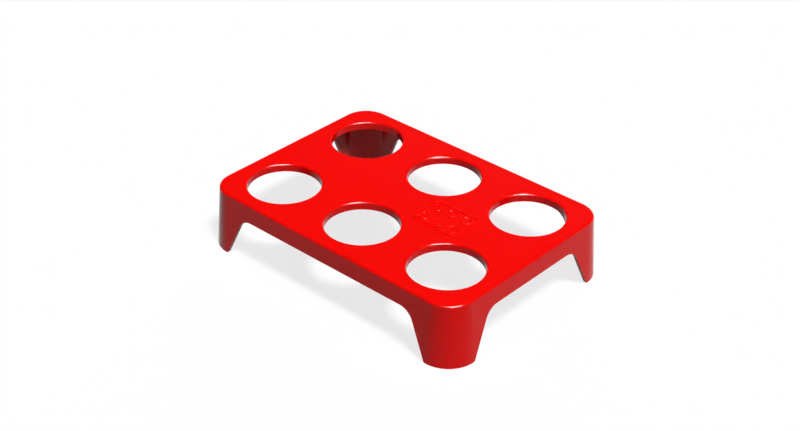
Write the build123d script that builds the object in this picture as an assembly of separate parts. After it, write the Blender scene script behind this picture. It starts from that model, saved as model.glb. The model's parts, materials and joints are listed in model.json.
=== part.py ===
"""Cup carrier tray, moulded in one piece of plastic.

A flat deck with a grid of round holes stands on four corner legs. Deck, skirt
and legs are one thin shell: the walls lean outwards on their way down, so that
trays nest and leave the mould, and the sides are cut away between the legs.

Millimetres, +Z up, +X along the long side. The origin is on the floor, midway
between the feet.
"""

import os
from math import cos, radians, tan

from build123d import *

# Outline of the deck, measured at its top face before the edge is rounded
TRAY_LENGTH = 310.0
TRAY_WIDTH = 220.0
TRAY_HEIGHT = 64.0
CORNER_RADIUS = 26.0

# Shell: how far the walls lean from upright in degrees, and their thickness
DRAFT = 4.0
WALL = 3.0
DECK = 3.0
EDGE_RADIUS = 2.0
INNER_RADIUS = 1.0

# Skirt and legs: depth of the skirt below the top face, the round arch that
# leads into each leg, the leg's slant from upright in degrees, and its reach
# along each side at the floor, measured from the side's end at the top face
SKIRT_DEPTH = 18.5
ARCH_RADIUS = 16.5
LEG_SLANT = 25.0
FOOT_REACH = 27.7
FOOT_CORNER_RADIUS = 2.5

# Cup holes: a grid set in from every side by the same distance, each hole with
# a collar under the deck
HOLES_ALONG = 3
HOLES_ACROSS = 2
HOLE_DIAMETER = 72.0
HOLE_INSET = 51.7
HOLE_EDGE_RADIUS = 2.0
COLLAR_DEPTH = 8.0
COLLAR_WALL = 3.0

# How far a cutting shape runs past what it cuts
OVERRUN = 5.0


def wall_outline(depth, inset=0.0):
    """Outline of the wall at a depth below the top face, moved inwards by inset."""
    growth = depth * tan(radians(DRAFT)) - inset / cos(radians(DRAFT))
    sketch = RectangleRounded(
        TRAY_LENGTH + 2 * growth, TRAY_WIDTH + 2 * growth, CORNER_RADIUS + growth
    )
    return Plane.XY.offset(TRAY_HEIGHT - depth) * sketch


def drafted_block(depth, inset, edge_radius):
    """Solid inside the wall outline, from a depth below the top face to past the floor."""
    height = TRAY_HEIGHT - depth + OVERRUN
    block = extrude(wall_outline(depth, inset), amount=-height, taper=-DRAFT)
    return fillet(block.faces().sort_by(Axis.Z)[-1].edges(), edge_radius)


def elevation(side):
    """Face of one side as seen square on: the skirt with a leg at each end."""
    foot = side / 2 - FOOT_REACH
    skirt_edge = TRAY_HEIGHT - SKIRT_DEPTH
    arch = foot - skirt_edge * tan(radians(LEG_SLANT))
    end = side / 2 + TRAY_HEIGHT
    top = TRAY_HEIGHT + OVERRUN
    corners = [(end, top), (end, 0), (foot, 0), (arch, skirt_edge)]
    mirrored = [(-x, z) for x, z in reversed(corners)]
    radii = [0, 0, FOOT_CORNER_RADIUS, ARCH_RADIUS]
    outline = FilletPolyline(*corners, *mirrored, radius=radii + radii[::-1], close=True)
    return make_face(outline)


def hole_grid():
    """Centres of the holes on the floor plane."""
    pitch_along = (TRAY_LENGTH - 2 * HOLE_INSET) / (HOLES_ALONG - 1)
    pitch_across = (TRAY_WIDTH - 2 * HOLE_INSET) / (HOLES_ACROSS - 1)
    return GridLocations(pitch_along, pitch_across, HOLES_ALONG, HOLES_ACROSS)


def hole_columns(radius, top, depth):
    """One upright cylinder at each hole, reaching down from the given height."""
    column = Cylinder(radius, depth, align=(Align.CENTER, Align.CENTER, Align.MAX))
    return [place * Pos(0, 0, top) * column for place in hole_grid()]


def carrier_tray():
    """The whole tray."""
    tray = drafted_block(0, 0, EDGE_RADIUS) - drafted_block(DECK, WALL, INNER_RADIUS)
    tray &= extrude(Plane.XZ * elevation(TRAY_LENGTH), amount=TRAY_LENGTH, both=True)
    tray &= extrude(Plane.YZ * elevation(TRAY_WIDTH), amount=TRAY_LENGTH, both=True)

    hole_radius = HOLE_DIAMETER / 2
    tray += hole_columns(hole_radius + COLLAR_WALL, TRAY_HEIGHT, COLLAR_DEPTH)
    bore_depth = COLLAR_DEPTH + 2 * OVERRUN
    tray -= hole_columns(hole_radius, TRAY_HEIGHT + OVERRUN, bore_depth)

    deck_face = tray.faces().sort_by(Axis.Z)[-1]
    return fillet(deck_face.inner_wires().edges(), HOLE_EDGE_RADIUS)


os.makedirs("parts", exist_ok=True)
export_step(carrier_tray(), "parts/carrier_tray.step")
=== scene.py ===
"""Dresses the moulded cup carrier tray and sets up the studio that it is seen in.

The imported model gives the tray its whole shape. This script gives the moulding
its plastic finish, adds the raised mark on the deck, and sets the floor, light
and camera. Metres, +Z up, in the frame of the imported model.
"""
import json
import logging
from dataclasses import dataclass
from enum import Enum
from math import cos, pi, radians, sin

import bmesh
import bpy
from mathutils import Matrix, Vector


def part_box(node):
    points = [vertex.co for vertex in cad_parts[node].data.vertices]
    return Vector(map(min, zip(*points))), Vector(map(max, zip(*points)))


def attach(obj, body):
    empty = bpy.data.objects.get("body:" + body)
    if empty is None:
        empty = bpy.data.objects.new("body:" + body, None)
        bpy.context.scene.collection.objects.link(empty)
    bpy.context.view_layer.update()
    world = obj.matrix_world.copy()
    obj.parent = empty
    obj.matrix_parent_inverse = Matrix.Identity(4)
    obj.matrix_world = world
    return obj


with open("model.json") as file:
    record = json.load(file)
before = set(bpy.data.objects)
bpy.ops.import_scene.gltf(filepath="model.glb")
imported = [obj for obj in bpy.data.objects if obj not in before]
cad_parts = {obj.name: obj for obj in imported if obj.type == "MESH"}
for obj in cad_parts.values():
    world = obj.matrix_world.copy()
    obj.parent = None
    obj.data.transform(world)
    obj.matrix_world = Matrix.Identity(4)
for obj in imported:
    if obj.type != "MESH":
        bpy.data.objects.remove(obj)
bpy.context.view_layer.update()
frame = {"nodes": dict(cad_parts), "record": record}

log = logging.getLogger("carrier")

MM = 0.001
BODY = "root"
TRAY_NODE = "carrier_tray"

# A hex colour: its base, the digits of one channel, and the value of a full channel
HEX_BASE = 16
HEX_DIGITS = 2
HEX_FULL = HEX_BASE**HEX_DIGITS - 1
# The sRGB curve: a straight foot up to the knee, and a raised power from there on
SRGB_KNEE = 0.04045
SRGB_FOOT_SLOPE = 12.92
SRGB_LIFT = 0.055
SRGB_POWER = 2.4


class Ray(Enum):
    """The rays that show a surface, by their output on the Light Path node."""

    STRAIGHT = "Is Camera Ray"
    MIRRORED = "Is Glossy Ray"
    THROUGH = "Is Transmission Ray"


class Effect(Enum):
    """What a lamp brings out in a surface."""

    COLOUR = "colour"
    GLOSS = "gloss"
    BOTH = "colour and gloss"


def linear(colour: str) -> tuple[float, float, float, float]:
    """Turns an sRGB hex colour into the linear values that a shader takes.

    Args:
        colour: six hex digits after a hash, such as "#FE0400".

    Returns:
        Red, green and blue from 0 to 1 in linear light, and an alpha of 1.
    """
    digits = colour.removeprefix("#")
    starts = range(0, len(digits), HEX_DIGITS)
    channels = [int(digits[i : i + HEX_DIGITS], HEX_BASE) / HEX_FULL for i in starts]
    red, green, blue = [
        c / SRGB_FOOT_SLOPE if c <= SRGB_KNEE else ((c + SRGB_LIFT) / (1 + SRGB_LIFT)) ** SRGB_POWER
        for c in channels
    ]
    return red, green, blue, 1.0


def grey(share: float) -> tuple[float, float, float, float]:
    """Gives the neutral colour that throws back a share of the light."""
    return share, share, share, 1.0


def socket(sockets: bpy.types.bpy_prop_collection, name: str) -> bpy.types.NodeSocket:
    """Finds a socket by its identifier, which no other socket on that side of the node shares."""
    return next(found for found in sockets if found.identifier == name)


def add_node(
    tree: bpy.types.NodeTree,
    kind: str,
    links: dict[str, bpy.types.NodeSocket] | None = None,
    values: dict[str, float | tuple[float, ...]] | None = None,
    **settings: str,
) -> bpy.types.Node:
    """Adds one node, with its settings, its fixed inputs and its links.

    Args:
        tree: the node tree that it goes into.
        kind: the node's type, such as "ShaderNodeBump".
        links: the output that feeds each linked input, by the input's identifier.
        values: the fixed value of each other input that isn't at its default, likewise.
        settings: the node's own properties.

    Returns:
        The new node.
    """
    node = tree.nodes.new(kind)
    for name, setting in settings.items():
        setattr(node, name, setting)
    for name, value in (values or {}).items():
        socket(node.inputs, name).default_value = value
    for name, output in (links or {}).items():
        tree.links.new(output, socket(node.inputs, name))
    return node


def cleared(tree: bpy.types.NodeTree) -> bpy.types.NodeTree:
    """Empties a node tree and gives it back."""
    tree.nodes.clear()
    return tree


def towards(azimuth: float, height: float) -> Vector:
    """Gives a direction by its angle round from the front to the right, and its height."""
    level = cos(height)
    return Vector((sin(azimuth) * level, -cos(azimuth) * level, sin(height)))


def seen(tree: bpy.types.NodeTree) -> bpy.types.NodeSocket:
    """Adds the test of whether a ray shows the surface, rather than only carrying its light.

    Args:
        tree: the node tree that it goes into.

    Returns:
        A socket that is 1 for a ray that shows the surface and 0 for any other.
    """
    path = add_node(tree, "ShaderNodeLightPath")
    shown = path.outputs[Ray.STRAIGHT.value]
    for ray in (Ray.MIRRORED, Ray.THROUGH):
        either = {"Value": shown, "Value_001": path.outputs[ray.value]}
        shown = add_node(tree, "ShaderNodeMath", either, operation="MAXIMUM").outputs["Value"]
    return shown


@dataclass(frozen=True)
class CupHole:
    """One round hole of the deck, in plan."""

    x: float
    y: float
    radius: float


def cup_holes() -> list[CupHole]:
    """Reads the deck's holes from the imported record.

    Returns:
        Every hole, in the record's order.
    """
    bores = [mount for mount in frame["record"]["mounts"] if mount["kind"] == "bore"]
    return [CupHole(*bore["pos_m"][:2], bore["dims"]["r_mm"] * MM) for bore in bores]


@dataclass(frozen=True)
class Mottle:
    """An uneven pattern: the real width of its spots, and how many finer layers lie over them."""

    width: float
    octaves: float

    def lay(self, tree: bpy.types.NodeTree) -> bpy.types.NodeSocket:
        """Lays the pattern over the piece, on Object coordinates.

        Args:
            tree: the material's node tree.

        Returns:
            The pattern's value, from 0 to 1.
        """
        place = add_node(tree, "ShaderNodeTexCoord").outputs["Object"]
        spots = {"Scale": 1 / self.width, "Detail": self.octaves}
        return add_node(tree, "ShaderNodeTexNoise", {"Vector": place}, spots).outputs["Fac"]


@dataclass(frozen=True)
class MouldedPlastic:
    """ABS, injection moulded in a steel mould with a light spark-eroded grain.

    It gives the eye one deep, even colour with a soft and slightly broken gloss:
    the steel's grain takes the edge off each reflection, and the skin swells
    faintly where the wall shrank as it cooled.
    """

    name: str
    colour: str
    flow_colour: str
    ior: float = 1.53
    specular: float = 0.12
    smooth: float = 0.13
    rough: float = 0.19
    # The steel's grain is about 0.15 mm across, too fine to show, so it is drawn at 0.9 mm.
    grain: Mottle = Mottle(width=0.9 * MM, octaves=2.0)
    grain_height: float = 0.006 * MM
    swell: Mottle = Mottle(width=14.0 * MM, octaves=1.0)
    swell_height: float = 0.020 * MM
    flow: Mottle = Mottle(width=70.0 * MM, octaves=3.0)

    def material(self) -> bpy.types.Material:
        """Builds the material.

        Returns:
            The new material.
        """
        material = bpy.data.materials.new(self.name)
        material.use_nodes = True
        tree = cleared(material.node_tree)
        swell = self.swell.lay(tree)
        tint = add_node(
            tree,
            "ShaderNodeMix",
            {"Factor_Float": self.flow.lay(tree)},
            {"A_Color": linear(self.colour), "B_Color": linear(self.flow_colour)},
            data_type="RGBA",
        )
        gloss = add_node(
            tree, "ShaderNodeMapRange", {"Value": swell}, {"To Min": self.smooth, "To Max": self.rough}
        )
        swollen = add_node(tree, "ShaderNodeBump", {"Height": swell}, {"Distance": self.swell_height})
        skin = add_node(
            tree,
            "ShaderNodeBump",
            {"Height": self.grain.lay(tree), "Normal": swollen.outputs["Normal"]},
            {"Distance": self.grain_height},
        )
        surface = add_node(
            tree,
            "ShaderNodeBsdfPrincipled",
            {
                "Base Color": socket(tint.outputs, "Result_Color"),
                "Roughness": gloss.outputs["Result"],
                "Normal": skin.outputs["Normal"],
            },
            {"IOR": self.ior, "Specular IOR Level": self.specular},
        )
        add_node(tree, "ShaderNodeOutputMaterial", {"Surface": surface.outputs["BSDF"]})
        return material


@dataclass
class Tray:
    """The moulding itself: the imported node, which keeps its shape and gets its plastic."""

    plastic: bpy.types.Material

    def dress(self) -> bpy.types.Object:
        """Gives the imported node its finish.

        Returns:
            The tray.
        """
        tray = frame["nodes"][TRAY_NODE]
        tray.data.materials.clear()
        tray.data.materials.append(self.plastic)
        return tray


@dataclass
class DeckMark:
    """A plan of the tray at about a sixth of its size, in low raised outline on the deck.

    A frame stands for the tray's edge and a ring for each cup hole. It lies amid
    the four holes of the tray's right half.
    """

    plastic: bpy.types.Material
    length: float = 54.0 * MM
    corner: float = 5.0 * MM
    corner_steps: int = 6
    ring_steps: int = 40
    line: float = 1.3 * MM
    relief: float = 0.8 * MM
    sunk: float = 0.1 * MM
    rounding: float = 0.25 * MM
    rounding_steps: int = 3

    def trace(self, mark: bmesh.types.BMesh) -> None:
        """Lays out the plan as flat shapes: the tray's rounded outline and its holes.

        Args:
            mark: the empty mesh that the shapes go into.
        """
        low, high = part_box(TRAY_NODE)
        scale = self.length / (high.x - low.x)
        bmesh.ops.create_grid(mark, x_segments=1, y_segments=1, size=scale / 2)
        bmesh.ops.scale(mark, vec=high - low, verts=mark.verts[:])
        bmesh.ops.bevel(
            mark,
            geom=mark.verts[:],
            affect="VERTICES",
            offset=self.corner,
            segments=self.corner_steps,
            profile=0.5,
            material=-1,
        )
        for hole in cup_holes():
            bmesh.ops.create_circle(
                mark,
                cap_ends=True,
                radius=hole.radius * scale,
                segments=self.ring_steps,
                matrix=Matrix.Translation((hole.x * scale, hole.y * scale, 0)),
            )

    def raise_beads(self, mark: bmesh.types.BMesh) -> None:
        """Turns each flat shape into a closed bead along its edge, with a rounded top.

        Args:
            mark: the mesh with the shapes.
        """
        shapes = mark.faces[:]
        bmesh.ops.inset_individual(mark, faces=shapes, thickness=self.line)
        bmesh.ops.delete(mark, geom=shapes, context="FACES")
        raised = bmesh.ops.extrude_face_region(mark, geom=mark.faces[:])["geom"]
        verts = [part for part in raised if isinstance(part, bmesh.types.BMVert)]
        edges = [part for part in raised if isinstance(part, bmesh.types.BMEdge)]
        tops = {part for part in raised if isinstance(part, bmesh.types.BMFace)}
        bmesh.ops.translate(mark, verts=verts, vec=(0, 0, self.relief + self.sunk))
        bmesh.ops.bevel(
            mark,
            geom=[edge for edge in edges if not tops.issuperset(edge.link_faces)],
            affect="EDGES",
            offset=self.rounding,
            segments=self.rounding_steps,
            profile=0.5,
            material=-1,
        )
        bmesh.ops.recalc_face_normals(mark, faces=mark.faces[:])

    def place(self) -> Vector:
        """Finds where the mark's middle goes, with its beads sunk a little into the deck.

        Returns:
            The point amid the holes of the tray's right half, the middle ones among them.
        """
        right = [hole for hole in cup_holes() if hole.x >= 0]
        middle_x = sum(hole.x for hole in right) / len(right)
        middle_y = sum(hole.y for hole in right) / len(right)
        _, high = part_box(TRAY_NODE)
        return Vector((middle_x, middle_y, high.z - self.sunk))

    def build(self) -> bpy.types.Object:
        """Makes the mark in its place on the deck.

        Returns:
            The mark, one piece with a closed bead for each shape.
        """
        mark = bmesh.new()
        self.trace(mark)
        self.raise_beads(mark)
        bmesh.ops.translate(mark, verts=mark.verts[:], vec=self.place())
        mesh = bpy.data.meshes.new("deck_mark")
        mark.to_mesh(mesh)
        mark.free()
        piece = bpy.data.objects.new("deck_mark", mesh)
        bpy.context.scene.collection.objects.link(piece)
        return piece

    def dress(self, mark: bpy.types.Object) -> bpy.types.Object:
        """Gives the mark the tray's plastic and sets it to ride with the tray.

        Args:
            mark: the built mark.

        Returns:
            The same mark.
        """
        mark.data.materials.append(self.plastic)
        mark.data.shade_smooth()
        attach(mark, BODY)
        return mark


@dataclass(frozen=True)
class PaleFloor:
    """Matt white paper, lit so that it shows as plain white with the tray's soft shadow on it.

    To the eye it is bright paper. What it throws back on the tray is dimmer, as
    from a floor that lies mostly outside the lamp's pool.
    """

    name: str = "white_paper_sweep"
    # The share of the white that comes from the light that falls on it, and so can be shadowed.
    lit_share: float = 0.22
    bounce: float = 0.05

    def material(self) -> bpy.types.Material:
        """Builds the material.

        Returns:
            The new material.
        """
        material = bpy.data.materials.new(self.name)
        material.use_nodes = True
        tree = cleared(material.node_tree)
        glow = add_node(tree, "ShaderNodeEmission", values={"Color": grey(1 - self.lit_share)})
        paper = add_node(tree, "ShaderNodeBsdfDiffuse", values={"Color": grey(self.lit_share)})
        shown = add_node(
            tree,
            "ShaderNodeAddShader",
            {"Shader": glow.outputs["Emission"], "Shader_001": paper.outputs["BSDF"]},
        )
        dim = add_node(tree, "ShaderNodeBsdfDiffuse", values={"Color": grey(self.bounce)})
        above = add_node(
            tree,
            "ShaderNodeMixShader",
            {
                "Fac": seen(tree),
                "Shader": dim.outputs["BSDF"],
                "Shader_001": shown.outputs["Shader"],
            },
        )
        # From below the paper is clear, so that it never hides the tray's underside.
        clear = add_node(tree, "ShaderNodeBsdfTransparent")
        surface = add_node(
            tree,
            "ShaderNodeMixShader",
            {
                "Fac": add_node(tree, "ShaderNodeNewGeometry").outputs["Backfacing"],
                "Shader": above.outputs["Shader"],
                "Shader_001": clear.outputs["BSDF"],
            },
        )
        add_node(tree, "ShaderNodeOutputMaterial", {"Surface": surface.outputs["Shader"]})
        return material


@dataclass(frozen=True)
class Lamp:
    """One broad lamp, far enough off to light the whole tray evenly.

    Its share is how near to white it alone brings a white surface that faces it.
    Its azimuth, height and spread are angles in radians.
    """

    name: str
    share: float
    azimuth: float
    height: float
    spread: float
    effect: Effect = Effect.BOTH

    def hang(self) -> bpy.types.Object:
        """Hangs the lamp.

        Returns:
            The lamp.
        """
        light = bpy.data.lights.new(self.name, "SUN")
        light.energy = pi * self.share
        light.angle = self.spread
        lamp = bpy.data.objects.new(self.name, light)
        lamp.rotation_mode = "QUATERNION"
        lamp.rotation_quaternion = towards(self.azimuth, self.height).to_track_quat("Z", "Y")
        lamp.visible_diffuse = self.effect is not Effect.GLOSS
        lamp.visible_glossy = self.effect is not Effect.COLOUR
        bpy.context.scene.collection.objects.link(lamp)
        return lamp


@dataclass
class Studio:
    """A wide pale floor, its lamps, and plain white all round it.

    The gloss mirrors only a low white wall under a dim ceiling, so that the deck
    keeps its full colour.
    """

    floor: PaleFloor
    lamps: tuple[Lamp, ...]
    floor_radius: float = 30.0
    floor_sides: int = 64
    # The mirrored wall is white up to the first height and fades out by the second.
    wall_full: float = radians(6.0)
    wall_end: float = radians(15.0)
    ambient_share: float = 0.07

    def lay_floor(self) -> bpy.types.Object:
        """Lays the floor.

        Returns:
            The floor, which is no piece of the object.
        """
        sheet = bmesh.new()
        bmesh.ops.create_circle(
            sheet, cap_ends=True, radius=self.floor_radius, segments=self.floor_sides
        )
        mesh = bpy.data.meshes.new("studio_floor")
        sheet.to_mesh(mesh)
        sheet.free()
        mesh.materials.append(self.floor.material())
        floor = bpy.data.objects.new("studio_floor", mesh)
        bpy.context.scene.collection.objects.link(floor)
        return floor

    def surround(self) -> bpy.types.World:
        """Sets the white all round, and the faint light that comes from it.

        Returns:
            The new world.
        """
        world = bpy.data.worlds.new("studio_light")
        world.use_nodes = True
        tree = cleared(world.node_tree)
        outwards = add_node(tree, "ShaderNodeTexCoord").outputs["Generated"]
        height = add_node(tree, "ShaderNodeSeparateXYZ", {"Vector": outwards}).outputs["Z"]
        heights = {"From Min": sin(self.wall_end), "From Max": sin(self.wall_full)}
        wall = add_node(
            tree, "ShaderNodeMapRange", {"Value": height}, heights, interpolation_type="SMOOTHSTEP"
        )
        both = {"Value": wall.outputs["Result"], "Value_001": seen(tree)}
        mirrored = add_node(tree, "ShaderNodeMath", both, operation="MULTIPLY").outputs["Value"]
        straight = add_node(tree, "ShaderNodeLightPath").outputs[Ray.STRAIGHT.value]
        either = {"Value": mirrored, "Value_001": straight}
        white = add_node(tree, "ShaderNodeMath", either, operation="MAXIMUM").outputs["Value"]
        strength = add_node(
            tree, "ShaderNodeMapRange", {"Value": white}, {"To Min": self.ambient_share}
        )
        light = add_node(
            tree,
            "ShaderNodeBackground",
            {"Strength": strength.outputs["Result"]},
            {"Color": grey(1.0)},
        )
        add_node(tree, "ShaderNodeOutputWorld", {"Surface": light.outputs["Background"]})
        bpy.context.scene.world = world
        return world

    def build(self) -> None:
        """Lays the floor, hangs the lamps and sets the white all round."""
        self.lay_floor()
        for lamp in self.lamps:
            lamp.hang()
        self.surround()


@dataclass(frozen=True)
class Viewpoint:
    """The camera, where the photograph's perspective puts it."""

    azimuth: float = radians(41.94)
    elevation: float = radians(32.53)
    roll: float = radians(0.62)
    distance: float = 1447.5 * MM
    target: tuple[float, float, float] = (17.05 * MM, -24.81 * MM, 64.0 * MM)
    picture_width: float = 800.0
    focal_pixels: float = 1547.5
    sensor_width: float = 36.0

    def place(self) -> bpy.types.Object:
        """Makes the camera and hands it to the scene.

        Returns:
            The camera.
        """
        back = towards(self.azimuth, self.elevation)
        right = Vector((cos(self.azimuth), sin(self.azimuth), 0))
        turned = Matrix.Rotation(self.roll, 3, back) @ right
        axes = Matrix((turned, back.cross(turned), back)).transposed()
        lens = bpy.data.cameras.new("viewpoint")
        lens.sensor_width = self.sensor_width
        lens.lens = self.sensor_width * self.focal_pixels / self.picture_width
        camera = bpy.data.objects.new("viewpoint", lens)
        stand = Vector(self.target) + back * self.distance
        camera.matrix_world = Matrix.Translation(stand) @ axes.to_4x4()
        bpy.context.scene.collection.objects.link(camera)
        bpy.context.scene.camera = camera
        return camera


def report(piece: bpy.types.Object) -> None:
    """Logs a piece's name, its number of faces and its size in millimetres."""
    size = " x ".join(f"{side / MM:.1f}" for side in piece.dimensions)
    log.info("%s: %d faces, %s mm", piece.name, len(piece.data.polygons), size)


def main() -> None:
    """Dresses the tray, adds its mark, and sets up the studio and the camera."""
    logging.basicConfig(level=logging.INFO, format="%(name)s: %(message)s")
    bpy.context.scene.view_settings.view_transform = "Standard"
    plastic = MouldedPlastic("red_abs_moulded", colour="#FE0400", flow_colour="#F90300").material()
    report(Tray(plastic).dress())
    mark = DeckMark(plastic)
    report(mark.dress(mark.build()))
    # It lights the deck well, the right side half as much and the front only faintly.
    key = Lamp(
        "key_lamp",
        share=1.0,
        azimuth=radians(73.0),
        height=radians(63.0),
        spread=radians(12.0),
    )
    # It fills the shaded sides. In the gloss it would lie as a haze on the deck.
    back = Lamp(
        "back_lamp",
        share=0.15,
        azimuth=radians(-150.0),
        height=radians(12.0),
        spread=radians(30.0),
        effect=Effect.COLOUR,
    )
    # It draws the bright streaks on the rounded edges and adds nothing to the colours.
    gleam = Lamp(
        "gleam_lamp",
        share=13.0,
        azimuth=radians(64.0),
        height=radians(57.0),
        spread=radians(43.0),
        effect=Effect.GLOSS,
    )
    Studio(PaleFloor(), (key, back, gleam)).build()
    Viewpoint().place()


if __name__ == "__main__":
    main()
